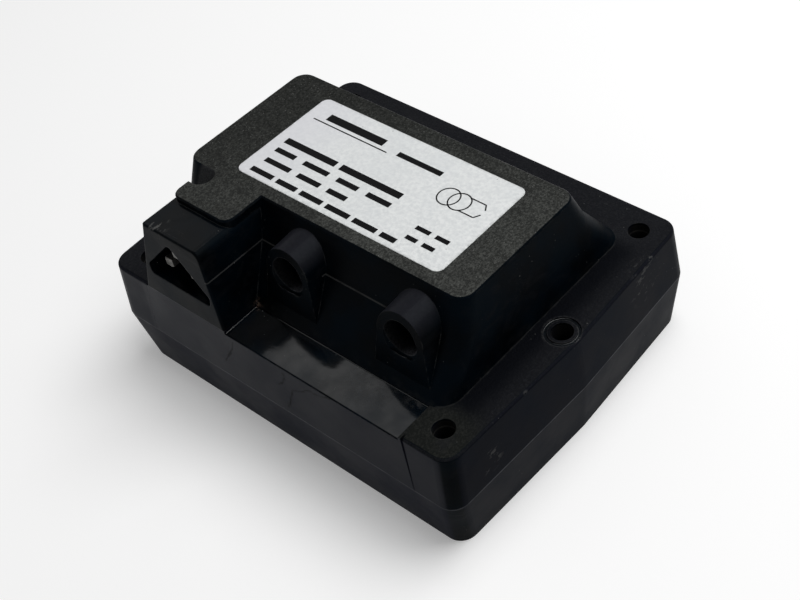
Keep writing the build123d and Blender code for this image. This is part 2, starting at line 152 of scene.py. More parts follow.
# Label and its print
LABEL_THICKNESS = 0.17
LABEL_BEVEL = 0.08
LABEL_CENTRE = (1.8, -0.8)
LABEL_SIZE = (66.6, 32.4)
LABEL_RADIUS = 2.1
DARK_EDGE_WIDTH = 0.8
CORNER_STEPS = 12
SHARP_ANGLE = 35.0
# Rows of bars: left end, middle height, thickness, bars, shortest, longest, gap, seed
PRINT_LINES = (
    (-25.3, 9.9, 2.4, 1, 19.0, 19.5, 1.5, 4), (-0.4, 8.7, 1.6, 1, 14.0, 14.6, 1.5, 9),
    (-28.2, -2.5, 2.0, 2, 15.0, 25.5, 1.6, 2), (-27.9, -6.3, 1.6, 4, 5.0, 8.4, 3.0, 5),
    (-27.4, -10.4, 1.6, 3, 6.0, 9.5, 2.6, 7), (-28.1, -14.6, 1.6, 6, 3.6, 8.0, 1.4, 3),
    (20.8, -8.4, 1.3, 2, 3.0, 5.0, 1.7, 6), (20.8, -12.0, 1.3, 2, 3.0, 4.5, 1.7, 8),
)
PRINT_HEIGHT = 0.03
STROKE = 0.36
RULE_X = (-28.4, -3.2)
RULE_Y = 7.5
COILS_X = (20.4, 23.8)
COILS_Y = 3.6
COIL_RADIUS = 2.9
RING_STEPS = 64
LEGS_X = (29.9, 30.9)
# Where the legs leave the coil, run and end, as shares of its radius
LEG_ROOT = 0.5
LEG_SPREAD = 0.85
TIP_SPREAD = 0.3

# Turn of a face toward an axis, where its mask starts and where it is full
FACING_UP = (0.93, 0.985)
FACING_SIDE = (0.9, 0.975)
FACING_FRONT = (-0.9, -0.975)
RIM_SLOPE = (0.45, 0.86)
ARCH_SLOPE = (0.4, 0.95)
RIGHT_WALL_SLOPE = (0.3, 0.7)

# Strengths of the marks
SCUFFS = 0.14
# The next three strengths are of painted highlights along edges, the crease and the hump's foot;
# the edges also hold real wear.
WORN_AND_LIT_EDGES = 0.22
CREASE_HIGHLIGHT = 0.42
FOOT_HIGHLIGHT = 0.3
FOOT_HAZE = 0.08
CHALK_SHARE = 0.75
ALL_MARKS = 0.5

# Gloss of the housing: roughness, then weights of the clear coat; relief in millimetres
SATIN_ROUGHNESS = (0.36, 0.48)
GRAINED_ROUGHNESS = 0.6
MARKS_ROUGHNESS = 0.2
COAT_ROUGHNESS = 0.1
SPECULAR = 0.02
LEDGE_COAT = (1.0, 0.66)
PANEL_COAT = (0.21, 0.12)
END_COAT = 0.005
BACK_COAT = 0.1
ROOF_COAT = 0.16
ARCH_COAT = 0.012
EDGE_RADIUS = 0.35
WORN_AND_LIT_EDGE_RADIUS = 0.45
FLOW_DEPTH = 0.25
GRAIN_DEPTH = 0.17
FINE_DEPTH = 0.008

# Linear colours of the housing, a pair from dark to light
BLACK = (0.0004, 0.0006, 0.0009)
BLUE_BLACK = (0.0006, 0.0022, 0.0041)
TOP_HOLLOWS = ((0.0125, 0.013, 0.012), (0.024, 0.025, 0.0235))
TOP_CRESTS = ((0.042, 0.0435, 0.0405), (0.082, 0.085, 0.079))
TOP_POINTS = (0.16, 0.163, 0.157)
TOP_STREAKS = (0.012, 0.0122, 0.012)
PAD_TONES = ((0.0078, 0.0081, 0.0098), (0.0152, 0.0156, 0.0178))
WARM_TONES = ((0.0085, 0.0092, 0.0085), (0.02, 0.0205, 0.0188))
PAD_CLOUDS = (0.0135, 0.0138, 0.0155)
HUMP_SHADE = (0.0015, 0.0017, 0.0028)
RING_DUST = (0.0175, 0.018, 0.0195)
SCOOP_GREY = (0.034, 0.0345, 0.036)
SMOKE = (0.0045, 0.005, 0.0062)
COOL_BLACK = (0.0022, 0.0028, 0.0085)
# Pale colour of dust, wear and painted highlights
DUST_AND_HIGHLIGHTS = (0.17, 0.17, 0.165)
GLUE_BROWN = (0.12, 0.085, 0.065)
HOLE_WALL = (0.016, 0.016, 0.015)
HOLE_STEP = (0.06, 0.058, 0.053)
SEAM_BLACK = (0.0002, 0.0002, 0.0003)
HAZE_GREY = (0.03, 0.0305, 0.031)
# Painted sheen on the tops of the arches
ARCH_SHEEN = (0.0128, 0.013, 0.0165)
FLOW_BLACK = (0.0006, 0.0006, 0.0008)
# Painted highlight along the parting ridge
PARTING_HIGHLIGHT = (0.06, 0.062, 0.07)
BORE_GREY = (0.02, 0.0205, 0.022)
BORE_LIGHT = (0.075, 0.076, 0.085)
SHEEN_TINT = (0.72, 0.88, 1.0)
COAT_TINT = (0.93, 0.97, 1.0)

# Linear colours of the other pieces, and sizes that belong to them
FILM_TONES = ((0.65, 0.67, 0.675), (0.75, 0.765, 0.76))
FILM_CLOUDS = (0.63, 0.655, 0.665)
FILM_BLUE = (0.66, 0.655, 0.7)
FILM_BLUE_X = (-8.0, -34.0)
# Darker grey of specks and of the label's edge, which is grime and painted shade
GRIME_AND_SHADE = (0.2, 0.2, 0.19)
INK_TONES = ((0.002, 0.002, 0.0024), (0.03, 0.03, 0.03))
RESIN_TONES = ((0.016, 0.014, 0.012), (0.034, 0.03, 0.026))
RESIN_BUBBLES = (0.006, 0.006, 0.006)
SHEET_THICKNESS = 0.5
SHEET_STEEL = (0.3, 0.31, 0.32)
SHEET_RUST = (0.2, 0.15, 0.11)
SHEET_GAP = (0.03, 0.03, 0.03)
WIRE_PITCH = 0.32
COPPER_TONES = ((0.42, 0.14, 0.05), (0.62, 0.24, 0.09))
COPPER_GAPS = (0.05, 0.015, 0.008)
# Metals: tarnished and bright colour, roughness
METALS = {
    "nickel_plate": ((0.1, 0.1, 0.095), (0.19, 0.185, 0.175), 0.34),
    "strip_steel": ((0.3, 0.3, 0.3), (0.5, 0.5, 0.5), 0.3),
}
# Pieces inside: dark and bright colour, size of the patches, roughness
INSIDE = {
    "bobbin_plastic": ((0.5, 0.46, 0.34), (0.62, 0.58, 0.46), 6.0, 0.45),
    "lead_insulation": ((0.01, 0.01, 0.012), (0.02, 0.02, 0.022), 3.0, 0.4),
    "earth_insulation": ((0.1, 0.22, 0.03), (0.3, 0.32, 0.04), 3.0, 0.4),
    "silicone_insulation": ((0.2, 0.03, 0.015), (0.3, 0.05, 0.02), 3.0, 0.5),
    "winding_tape": ((0.45, 0.3, 0.05), (0.6, 0.42, 0.09), 5.0, 0.3),
}


def mm(*values):
    """Vector in metres from millimetres."""
    return Vector([v * MM for v in values])


# Node building

class Shader:
    """Builds one material's nodes: each call adds a node and gives back its output."""

    def __init__(self, name):
        self.material = bpy.data.materials.new(name)
        self.material.use_nodes = True
        self.tree = self.material.node_tree
        self.tree.nodes.clear()
        output = self.tree.nodes.new("ShaderNodeOutputMaterial")
        self.surface = self.tree.nodes.new("ShaderNodeBsdfPrincipled")
        self.tree.links.new(self.surface.outputs[0], output.inputs["Surface"])
        self.place = self.tree.nodes.new("ShaderNodeTexCoord").outputs["Object"]
        self.normal = self.tree.nodes.new("ShaderNodeNewGeometry").outputs["Normal"]

    def put(self, socket, value):
        """Links an output to a socket, or sets the socket to a value."""
        if isinstance(value, bpy.types.NodeSocket):
            self.tree.links.new(value, socket)
        elif isinstance(value, tuple) and len(socket.default_value) == 4:
            socket.default_value = (*value, 1.0)
        else:
            socket.default_value = value

    def math(self, operation, a, b=0.0, clamp=False):
        made = self.tree.nodes.new("ShaderNodeMath")
        made.operation = operation
        made.use_clamp = clamp
        self.put(made.inputs[0], a)
        self.put(made.inputs[1], b)
        return made.outputs[0]

    def chained(self, operation, values):
        result = values[0]
        for value in values[1:]:
            result = self.math(operation, result, value)
        return result

    def times(self, *values):
        return self.chained("MULTIPLY", values)

    def plus(self, *values):
        return self.chained("ADD", values)

    def most(self, *values):
        return self.chained("MAXIMUM", values)

    def least(self, *values):
        return self.chained("MINIMUM", values)

    def inverse(self, a):
        return self.math("SUBTRACT", 1.0, a)

    def past(self, value, place):
        """How far a coordinate is past a place in millimetres."""
        return self.plus(value, -place * MM)

    def ramp(self, value, start, full, at_start=0.0, at_full=1.0, smooth=True):
        made = self.tree.nodes.new("ShaderNodeMapRange")
        made.interpolation_type = "SMOOTHSTEP" if smooth else "LINEAR"
        for socket, number in zip(made.inputs[:5], (value, start, full, at_start, at_full)):
            self.put(socket, number)
        return made.outputs[0]

    def fade(self, value, start, full, at_start=0.0, at_full=1.0):
        """Ramp between two places in millimetres."""
        return self.ramp(value, start * MM, full * MM, at_start, at_full)

    def band(self, value, low, high, edge):
        """One between two values, with soft edges outside them."""
        return self.times(self.ramp(value, low - edge, low),
                          self.ramp(value, high, high + edge, 1.0, 0.0))

    def strip(self, value, low, high, edge):
        """Band between two places in millimetres."""
        return self.band(value, low * MM, high * MM, edge * MM)

    def mix(self, share, a, b):
        made = self.tree.nodes.new("ShaderNodeMix")
        made.data_type = "RGBA"
        self.put(made.inputs["Factor"], share)
        self.put(made.inputs[6], a)
        self.put(made.inputs[7], b)
        return made.outputs[2]

    def axes(self, vector=None):
        """The three parts of a vector, or of the place."""
        made = self.tree.nodes.new("ShaderNodeSeparateXYZ")
        self.put(made.inputs[0], vector or self.place)
        return tuple(made.outputs)

    def joined(self, x=0.0, y=0.0, z=0.0):
        """Vector of three parts."""
        made = self.tree.nodes.new("ShaderNodeCombineXYZ")
        for socket, part in zip(made.inputs, (x, y, z)):
            self.put(socket, part)
        return made.outputs[0]

    def vector_math(self, operation, a, b=None, out="Value", **inputs):
        made = self.tree.nodes.new("ShaderNodeVectorMath")
        made.operation = operation
        self.put(made.inputs[0], a)
        if b is not None:
            self.put(made.inputs[1], b)
        for name, value in inputs.items():
            self.put(made.inputs[name], value)
        return made.outputs[out]

    def stretched(self, scale, turn=(0.0, 0.0, 0.0)):
        """The place, turned and scaled."""
        made = self.tree.nodes.new("ShaderNodeMapping")
        self.put(made.inputs["Vector"], self.place)
        made.inputs["Scale"].default_value = scale
        made.inputs["Rotation"].default_value = turn
        return made.outputs[0]

    def noise(self, size, detail=2.0, rough=0.5, vector=None, warp=0.0):
        """Noise whose features are about the given size in millimetres."""
        made = self.tree.nodes.new("ShaderNodeTexNoise")
        self.put(made.inputs["Vector"], vector or self.place)
        made.inputs["Scale"].default_value = 1.0 / (size * MM)
        made.inputs["Detail"].default_value = detail
        made.inputs["Roughness"].default_value = rough
        made.inputs["Distortion"].default_value = warp
        return made.outputs["Fac"]

    def cells(self, size, out="Distance"):
        """Cells about the given size in millimetres."""
        made = self.tree.nodes.new("ShaderNodeTexVoronoi")
        self.put(made.inputs["Vector"], self.place)
        made.inputs["Scale"].default_value = 1.0 / (size * MM)
        return made.outputs[out]

    def specks(self, size, radius, share):
        """Scattered round specks: a share of the cells holds one."""
        pick = self.axes(self.cells(size, "Color"))[0]
        return self.times(self.ramp(self.cells(size), radius, 0.5 * radius),
                          self.ramp(pick, share, 0.98 * share))

    def scratches(self, length, width, share, turn):
        """Straight hairlines along one direction: noise drawn out along it and cut to its crest."""
        line = self.noise(width, 0.0, 0.0, self.stretched((width / length, 1.0, 1.0), turn))
        crest = self.band(line, 0.492, 0.508, 0.016)
        where = self.ramp(self.noise(length * 0.7, 1.0), 1.0 - share, 1.06 - share)
        return self.times(crest, where)

    def bump(self, height, depth, normal=None):
        """Bump whose height is given in millimetres."""
        made = self.tree.nodes.new("ShaderNodeBump")
        made.inputs["Strength"].default_value = 1.0
        made.inputs["Distance"].default_value = depth * MM
        self.put(made.inputs["Height"], height)
        if normal is not None:
            self.put(made.inputs["Normal"], normal)
        return made.outputs[0]

    def rounded(self, radius):
        """Normals as if edges were rounded by a radius in millimetres."""
        made = self.tree.nodes.new("ShaderNodeBevel")
        made.samples = 6
        made.inputs["Radius"].default_value = radius * MM
        return made.outputs[0]

    def reach(self, a, b):
        """Length of the vector with two given parts."""
        return self.vector_math("LENGTH", self.joined(a, b))

    def near(self, centre, radius):
        """One at a point given in millimetres, fading to nothing at a radius from it."""
        distance = self.vector_math("DISTANCE", self.place, mm(*centre))
        return self.fade(distance, radius, 0.4 * radius)

    def traced(self, points, width, wander):
        """One along a chain of points on the front wall, wandering a little; in millimetres."""
        x, _, z = self.axes()
        sway = self.times(self.plus(self.noise(2.2, 4.0, 0.75), -0.5), wander * MM)
        lift = self.times(self.plus(self.noise(1.7, 4.0, 0.75), -0.5), wander * MM)
        place = self.joined(self.plus(x, sway), 0.0, self.plus(z, lift))
        distances = []
        for (ax, az), (bx, bz) in zip(points, points[1:]):
            start, step = mm(ax, 0.0, az), mm(bx - ax, 0.0, bz - az)
            away = self.vector_math("SUBTRACT", place, start, "Vector")
            along = self.vector_math("DOT_PRODUCT", away, step / step.length_squared)
            share = self.math("MULTIPLY", along, 1.0, clamp=True)
            foot = self.vector_math("SCALE", step, out="Vector", Scale=share)
            distances.append(self.vector_math("DISTANCE", away, foot))
        return self.fade(self.least(*distances), width, 0.4 * width)

    def edges(self, radius):
        """One along edges and inner corners, where rounding would turn the surface."""
        turned = self.vector_math("DOT_PRODUCT", self.rounded(radius), self.normal)
        return self.ramp(turned, 0.985, 0.93)

    def finish(self, colour, roughness, normal=None, **constants):
        """Sets the surface's sockets and gives back the material."""
        self.put(self.surface.inputs["Base Color"], colour)
        self.put(self.surface.inputs["Roughness"], roughness)
        if normal is not None:
            self.put(self.surface.inputs["Normal"], normal)
        for name, value in constants.items():
            self.put(self.surface.inputs[name.replace("_", " ")], value)
        return self.material


# Materials

class Housing(Shader):
    """Nodes of the moulding: masks of its faces, patterns, and the colours made of them."""

    def __init__(self):
        super().__init__("housing_plastic")
        self.x, self.y, self.z = self.axes()
        self.fold_x = self.math("ABSOLUTE", self.x)
        self.fold_y = self.math("ABSOLUTE", self.y)
        self.find_faces()
        self.grain = self.noise(0.45, 3.0, 0.75, self.stretched((1.0, 0.75, 1.0), (0.0, 0.0, 0.15)))
        self.wide = self.noise(14.0, 3.0, 0.55)
        self.streak = self.noise(5.0, 3.0, 0.6, self.stretched((0.35, 1.0, 1.0), (0.0, 0.0, 0.5)))
        self.fine = self.noise(0.9, 2.0, 0.6)
        self.cloud = self.noise(7.0, 4.0, 0.6)
        self.find_details()

    def find_faces(self):
        """Masks of the kinds of face, from the way they turn and where they lie."""
        self.slope_x, slope_y, self.slope_z = self.axes(self.normal)
        self.facing_up = self.ramp(self.slope_z, *FACING_UP)
        self.facing_back = self.ramp(slope_y, *FACING_SIDE)
        self.facing_end = self.ramp(self.math("ABSOLUTE", self.slope_x), *FACING_SIDE)
        self.top = self.times(self.facing_up, self.fade(self.z, *TOP_Z))
        self.pads = self.times(self.facing_up, self.strip(self.z, *PADS_Z, 0.05))
        self.ledge = self.times(self.facing_up, self.strip(self.z, *LEDGE_Z, 0.05))
        self.roof = self.times(self.facing_up, self.strip(self.z, *ROOF_Z, 0.1),
                               self.fade(self.x, *ROOF_X))
        self.below_flange = self.fade(self.z, *BELOW_FLANGE_Z)
        self.lower = self.fade(self.z, *LOWER_Z)
        self.front_wall = self.times(self.ramp(slope_y, *FACING_FRONT),
                                     self.fade(self.y, *FRONT_WALL_Y))
        self.skirt = self.times(self.most(self.front_wall, self.facing_end, self.facing_back),
                                self.below_flange)
        off_ledge = self.most(self.fade(self.y, *BEHIND_LEDGE_Y),
                              self.fade(self.x, *RIGHT_OF_LEDGE_X),
                              self.fade(self.x, *LEFT_OF_LEDGE_X))
        self.rim = self.times(self.band(self.slope_z, *RIM_SLOPE, 0.1),
                              self.strip(self.z, *RIM_Z, 0.05), off_ledge)
        self.grained = self.most(self.top, self.pads, self.times(self.rim, 0.8))
        self.arches = self.times(self.ramp(self.slope_z, *ARCH_SLOPE, smooth=False),
                                 self.strip(self.x, *ARCHES_X, 0.5), self.fade(self.y, *ARCH_Y),
                                 self.strip(self.z, *ARCH_Z, 1.0))

    def find_details(self):
        """Masks of the seams, the flow lines and the haze on the ledge."""
        drop = self.plus(FLANGE_TOP * MM, self.times(self.z, -1.0))
        seams = []
        for place, lean, half_width, tone in SEAMS:
            seam_x = self.plus(self.times(drop, lean), place * MM)
            beside = self.plus(self.x, self.times(seam_x, -1.0))
            seams.append(self.times(self.strip(beside, -half_width, half_width, SEAM_SOFT), tone))
        self.seam = self.times(self.most(*seams), self.fade(self.y, *SEAM_Y),
                               self.ramp(self.lower, 0.0, 1.0, 1.0, 0.3))
        lines = [self.traced(chain, FLOW_LINE_WIDTH, FLOW_LINE_WANDER) for chain in FLOW_LINES]
        self.flow_marks = self.times(self.most(*lines), self.ramp(self.fine, 0.3, 0.55, 0.35, 1.0),
                                     self.front_wall, self.below_flange)
        self.haze = self.times(self.most(*(self.near(*spot) for spot in LEDGE_HAZE)),
                               self.ramp(self.noise(1.6, 4.0, 0.7), 0.42, 0.62), self.ledge)

    def wall_colour(self):
        """Near black with blue patches, a paler scoop beside the wing, and smoke on the right."""
        colour = self.mix(self.ramp(self.wide, 0.35, 0.7), BLACK, BLUE_BLACK)
        from_scoop = self.reach(self.past(self.x, SCOOP[0]), self.past(self.y, SCOOP[1]))
        scoop = self.times(self.fade(from_scoop, *SCOOP_EDGE), self.fade(self.z, *SCOOP_Z),
                           self.ramp(self.grain, 0.35, 0.65, 0.5, 1.0))
        colour = self.mix(scoop, colour, SCOOP_GREY)
        smoke = self.noise(6.0, 5.0, 0.6, self.stretched((1.0, 0.7, 1.3)), 1.2)
        smoke = self.times(self.ramp(smoke, 0.5, 0.72),
                           self.ramp(self.slope_x, *RIGHT_WALL_SLOPE),
                           self.inverse(self.below_flange))
        return self.mix(self.times(smoke, 0.7), colour, SMOKE)

    def top_colour(self):
        """Grained grey, more worn towards the front right, with bright points."""
        across = self.plus(self.times(self.x, 0.21), self.times(self.y, -0.27))
        wear = self.fade(across, *WEAR_SPAN)
        mottled = self.plus(self.times(self.grain, 0.9), self.times(self.noise(1.9, 2.0, 0.6), 0.1))
        colour = self.mix(self.ramp(mottled, 0.4, 0.68),
                          self.mix(wear, *TOP_HOLLOWS), self.mix(wear, *TOP_CRESTS))
        points = self.most(self.specks(0.85, 0.2, 0.35),
                           self.times(self.specks(0.6, 0.24, 0.3), 0.6))
        points = self.times(points, self.ramp(self.cloud, 0.35, 0.65, 0.35, 1.0))
        colour = self.mix(points, colour, TOP_POINTS)
        return self.mix(self.times(self.ramp(self.streak, 0.45, 0.75), 0.4), colour, TOP_STREAKS)

    def pad_colour(self):
        """Finer grain on the flange: warmer at the front right, darker beside the hump."""
        colour = self.mix(self.ramp(self.grain, 0.42, 0.72), *PAD_TONES)
        warm = self.mix(self.ramp(self.grain, 0.4, 0.7), *WARM_TONES)
        colour = self.mix(self.near(*WARM_PAD), colour, warm)
        colour = self.mix(self.times(self.ramp(self.cloud, 0.5, 0.75), 0.5), colour, PAD_CLOUDS)
        beside_hump = self.times(self.fade(self.fold_x, *BESIDE_HUMP_X),
                                 self.fade(self.fold_y, *BESIDE_HUMP_Y))
        colour = self.mix(self.times(beside_hump, 0.85), colour, HUMP_SHADE)
        ring = self.strip(self.from_middle_hole(), *WASHER_RING, 0.3)
        return self.mix(self.times(ring, self.ramp(self.grain, 0.35, 0.6)), colour, RING_DUST)

    def from_middle_hole(self):
        """Distance from the axis of the nearer middle hole."""
        return self.reach(self.past(self.fold_x, MIDDLE_HOLE_X), self.y)

    def marks(self):
        """Dust, scuffs, worn edges with painted edge highlights, a painted highlight along the line
        between the drafts and at the hump's foot, chalk and chips.
        """
        dust = self.times(self.most(self.specks(1.7, 0.11, 0.3), self.specks(0.8, 0.13, 0.05)),
                          self.ramp(self.noise(9.0, 2.0, 0.5), 0.45, 0.62))
        scuffs = self.times(self.scratches(9.0, 0.4, 0.5, (0.2, 0.3, 0.9)),
                            self.ramp(self.noise(18.0, 1.0), 0.54, 0.64),
                            self.ramp(self.fine, 0.45, 0.6))
        # Lighter along edges and inner corners: partly real wear, partly painted edge highlights.
        worn = self.times(self.edges(WORN_AND_LIT_EDGE_RADIUS), self.ramp(self.noise(2.4, 3.0, 0.6), 0.42, 0.62))
        back_wall = self.times(self.strip(self.y, *BACK_WALL_Y, 0.1),
                               self.fade(self.x, *BACK_WALL_END_X))
        inlet_wall = self.times(self.strip(self.x, *INLET_WALL_X, 0.1),
                                self.fade(self.y, *INLET_WALL_END_Y))
        # Painted highlight: a thin lighter line along the crease on the back wall and the inlet
        # wall.
        crease_highlight = self.times(self.strip(self.z, *CREASE_HIGHLIGHT_Z, 0.12), self.most(back_wall, inlet_wall),
                             self.ramp(self.cloud, 0.3, 0.6, 0.25, 1.0))
        upright = self.inverse(self.facing_up)
        foot_haze = self.times(self.fade(self.z, *FOOT_HAZE_TOP_Z),
                               self.fade(self.z, *FOOT_HAZE_FOOT_Z), upright,
                               self.ramp(self.noise(3.0, 4.0, 0.65), 0.45, 0.75))
        # Painted highlight: a thin lighter line along the foot of the hump's walls near its ends.
        foot_highlight = self.times(self.strip(self.z, *FOOT_HIGHLIGHT_Z, 0.1), upright,
                               self.fade(self.fold_x, *FOOT_HIGHLIGHT_X),
                               self.ramp(self.streak, 0.3, 0.6, 0.4, 1.0))
        smear = self.noise(1.5, 4.0, 0.7, self.stretched((1.0, 0.4, 0.8), (0.5, 0.0, 0.0)))
        chalk = self.times(self.most(*(self.near(*spot) for spot in CHALK)),
                           self.ramp(smear, 0.555, 0.605), CHALK_SHARE)
        chips = self.times(self.most(*(self.near(*spot) for spot in CHIPS)),
                           self.ramp(self.fine, 0.4, 0.55))
        return self.most(dust, self.times(scuffs, SCUFFS), self.times(worn, WORN_AND_LIT_EDGES),
                         self.times(crease_highlight, CREASE_HIGHLIGHT), self.times(foot_highlight, FOOT_HIGHLIGHT),
                         self.times(foot_haze, FOOT_HAZE), chalk, chips)

    def with_holes(self, colour):
        """Greyer walls in the screw holes, and the light step in the corner ones."""
        from_corner_hole = self.reach(self.past(self.fold_x, CORNER_HOLE[0]),
                                      self.past(self.fold_y, CORNER_HOLE[1]))
        from_hole = self.least(from_corner_hole, self.from_middle_hole())
        wall = self.times(self.fade(from_hole, *HOLE_EDGE), self.fade(self.z, *HOLE_FLOOR_Z),
                          self.fade(self.z, *HOLE_MOUTH_Z))
        colour = self.mix(self.times(wall, 0.8), colour, HOLE_WALL)
        step = self.times(self.fade(from_corner_hole, *HOLE_EDGE),
                          self.strip(self.z, *HOLE_STEP_Z, 0.12))
        return self.mix(self.times(step, 0.8), colour, HOLE_STEP)

    def with_bores(self, colour):
        """Dusty walls in the tower bores, lighter where the light falls in."""
        between = (TOWERS_X[0] - TOWERS_X[1]) * MM
        on_right = self.math("GREATER_THAN", self.x, BETWEEN_TOWERS_X * MM)
        off_axis = self.plus(self.past(self.x, TOWERS_X[0]), self.times(on_right, between))
        above_axis = self.past(self.z, CREASE)
        bores = self.times(self.fade(self.reach(off_axis, above_axis), *BORE_EDGE),
                           self.fade(self.y, *BORE_Y))
        dusty = self.times(bores, self.ramp(self.grain, 0.4, 0.65, 0.35, 0.9))
        colour = self.mix(dusty, colour, BORE_GREY)
        down_right = self.plus(self.times(off_axis, 0.75), self.times(above_axis, -0.66))
        lit = self.times(bores, self.fade(down_right, *BORE_LIGHT_EDGE),
                         self.fade(self.y, *BORE_LIGHT_Y),
                         self.ramp(self.grain, 0.4, 0.6, 0.3, 0.9))
        return self.mix(lit, colour, BORE_LIGHT)

    def colour(self, marks):
        """The bare plastic, then all that lies on it, with painted highlights and sheen, in order.
        """
        pad = self.pad_colour()
        colour = self.mix(self.top, self.wall_colour(), self.top_colour())
        colour = self.mix(self.pads, colour, pad)
        colour = self.mix(self.rim, colour, self.mix(0.4, pad, COOL_BLACK))
        # Dust, wear and painted highlights of the marks, in one pale colour.
        colour = self.mix(self.times(marks, ALL_MARKS), colour, DUST_AND_HIGHLIGHTS)
        glue = self.times(self.near(*GLUE), self.ramp(self.noise(1.0, 3.0, 0.65), 0.48, 0.56))
        colour = self.with_holes(self.mix(self.times(glue, 0.75), colour, GLUE_BROWN))
        colour = self.mix(self.seam, colour, SEAM_BLACK)
        colour = self.mix(self.times(self.haze, 0.8), colour, HAZE_GREY)
        # Painted sheen: the upturned tops of the towers' arches are made lighter grey.
        colour = self.mix(self.times(self.arches, self.ramp(self.fine, 0.2, 0.8, 0.75, 1.0)),
                          colour, ARCH_SHEEN)
        colour = self.mix(self.times(self.skirt, self.ramp(self.facing_end, 0.0, 1.0, 0.7, 0.35)),
                          colour, COOL_BLACK)
        colour = self.mix(self.times(self.flow_marks, 0.9), colour, FLOW_BLACK)
        # Painted highlight: a lighter line along the parting ridge on the skirt.
        parting_highlight = self.times(self.strip(self.z, *PARTING_Z, 0.1),
                             self.ramp(self.noise(6.0, 3.0, 0.6), 0.35, 0.6, 0.4, 1.0))
        colour = self.mix(self.times(parting_highlight, 0.9), colour, PARTING_HIGHLIGHT)
        return self.with_bores(colour)

    def coat(self):
        """Gloss: strongest on the ledge, weaker on the front panel and the inlet's roof."""
        panel = self.times(self.inverse(self.lower), self.fade(self.x, *PANEL_X, *PANEL_COAT),
                           self.fade(self.x, *LEFT_OF_PANEL_X, 0.6, 1.0),
                           self.ramp(self.below_flange, 0.0, 1.0, 0.42, 1.0))
        coat = self.plus(self.times(self.ledge, self.ramp(self.cloud, 0.3, 0.75, *LEDGE_COAT)),
                         self.times(self.front_wall, panel),
                         self.times(self.facing_end, self.below_flange, END_COAT),
                         self.times(self.facing_back, self.below_flange, BACK_COAT),
                         self.times(self.roof, ROOF_COAT), self.times(self.arches, ARCH_COAT))
        lip = self.times(self.ledge, self.fade(self.y, *LIP_Y))
        dull = self.most(self.seam, lip, self.times(self.haze, 0.5))
        return self.times(coat, self.inverse(dull), self.ramp(self.wide, 0.25, 0.8, 1.0, 0.72),
                          self.inverse(self.times(self.flow_marks, 0.8)))


def housing_plastic():
    """Black moulded plastic: grained on top, satin on the walls, glossy on the ledge."""
    s = Housing()
    smooth = s.inverse(s.grained)
    marks = s.marks()
    satin = s.ramp(s.wide, 0.3, 0.75, *SATIN_ROUGHNESS)
    roughness = s.plus(s.times(smooth, satin), s.times(s.grained, GRAINED_ROUGHNESS),
                       s.times(marks, MARKS_ROUGHNESS))
    flow = s.noise(11.0, 3.0, 0.45, s.stretched((0.8, 1.0, 1.1)), 0.6)
    flow = s.times(flow, s.ramp(s.most(s.ledge, s.skirt), 0.0, 1.0, 1.0, 0.35))
    soft = s.bump(flow, FLOW_DEPTH, s.rounded(EDGE_RADIUS))
    relief = s.plus(s.times(s.grain, 0.9), s.times(s.cells(0.6), 0.45))
    height = s.plus(s.times(relief, s.grained, GRAIN_DEPTH), s.times(smooth, s.fine, FINE_DEPTH))
    s.put(s.surface.inputs["Coat Weight"], s.coat())
    s.put(s.surface.inputs["Coat Normal"], soft)
    s.put(s.surface.inputs["Specular Tint"], SHEEN_TINT)
    s.put(s.surface.inputs["Coat Tint"], COAT_TINT)
    return s.finish(s.colour(marks), roughness, s.bump(height, 1.0, soft),
                    Specular_IOR_Level=SPECULAR, Coat_Roughness=COAT_ROUGHNESS)


def label_film():
    """Silver-white film: fine mottling, a soft sheen, and a darker edge that is partly grime and
    partly painted shade.
    """
    s = Shader("label_film")
    place = s.axes()
    mottle = s.noise(1.0, 4.0, 0.7)
    cloud = s.noise(16.0, 2.0, 0.5)
    white = s.mix(s.ramp(mottle, 0.34, 0.68), *FILM_TONES)
    white = s.mix(s.times(s.ramp(cloud, 0.45, 0.7), 0.35), white, FILM_CLOUDS)
    white = s.mix(s.fade(place[0], *FILM_BLUE_X, 0.0, 0.6), white, FILM_BLUE)
    # Darker band along the edge: partly grime, partly painted shade.
    rims = []
    for along, centre, size in zip(place, LABEL_CENTRE, LABEL_SIZE):
        from_middle = s.math("ABSOLUTE", s.past(along, centre))
        rims.append(s.fade(from_middle, size / 2 - DARK_EDGE_WIDTH, size / 2))
    edge_grime_and_shade = s.times(s.most(*rims), s.ramp(s.noise(1.4, 3.0, 0.6), 0.35, 0.65))
    specks = s.times(s.specks(2.6, 0.1, 0.2), 0.5)
    colour = s.mix(s.most(s.times(edge_grime_and_shade, 0.35), specks), white, GRIME_AND_SHADE)
    roughness = s.ramp(mottle, 0.3, 0.7, 0.3, 0.5)
    normal = s.bump(s.plus(s.times(mottle, 0.5), cloud), 0.03)
    return s.finish(colour, roughness, normal, Metallic=0.25)


def print_ink():
    """Black ink, a little worn."""
    s = Shader("print_ink")
    worn = s.noise(0.5, 3.0, 0.7)
    colour = s.mix(s.ramp(worn, 0.6, 0.78), *INK_TONES)
    return s.finish(colour, s.ramp(worn, 0.3, 0.7, 0.5, 0.65), Specular_IOR_Level=0.05)


def resin():
    """Brown-black cast resin with a few bubbles."""
    s = Shader("cast_resin")
    wide = s.noise(9.0, 4.0, 0.6)
    colour = s.mix(s.ramp(wide, 0.3, 0.7), *RESIN_TONES)
    bubbles = s.specks(3.1, 0.22, 0.3)
    colour = s.mix(s.times(bubbles, 0.5), colour, RESIN_BUBBLES)
    normal = s.bump(s.plus(wide, s.times(bubbles, -0.6)), 0.25)
    return s.finish(colour, s.ramp(wide, 0.3, 0.7, 0.3, 0.55), normal)


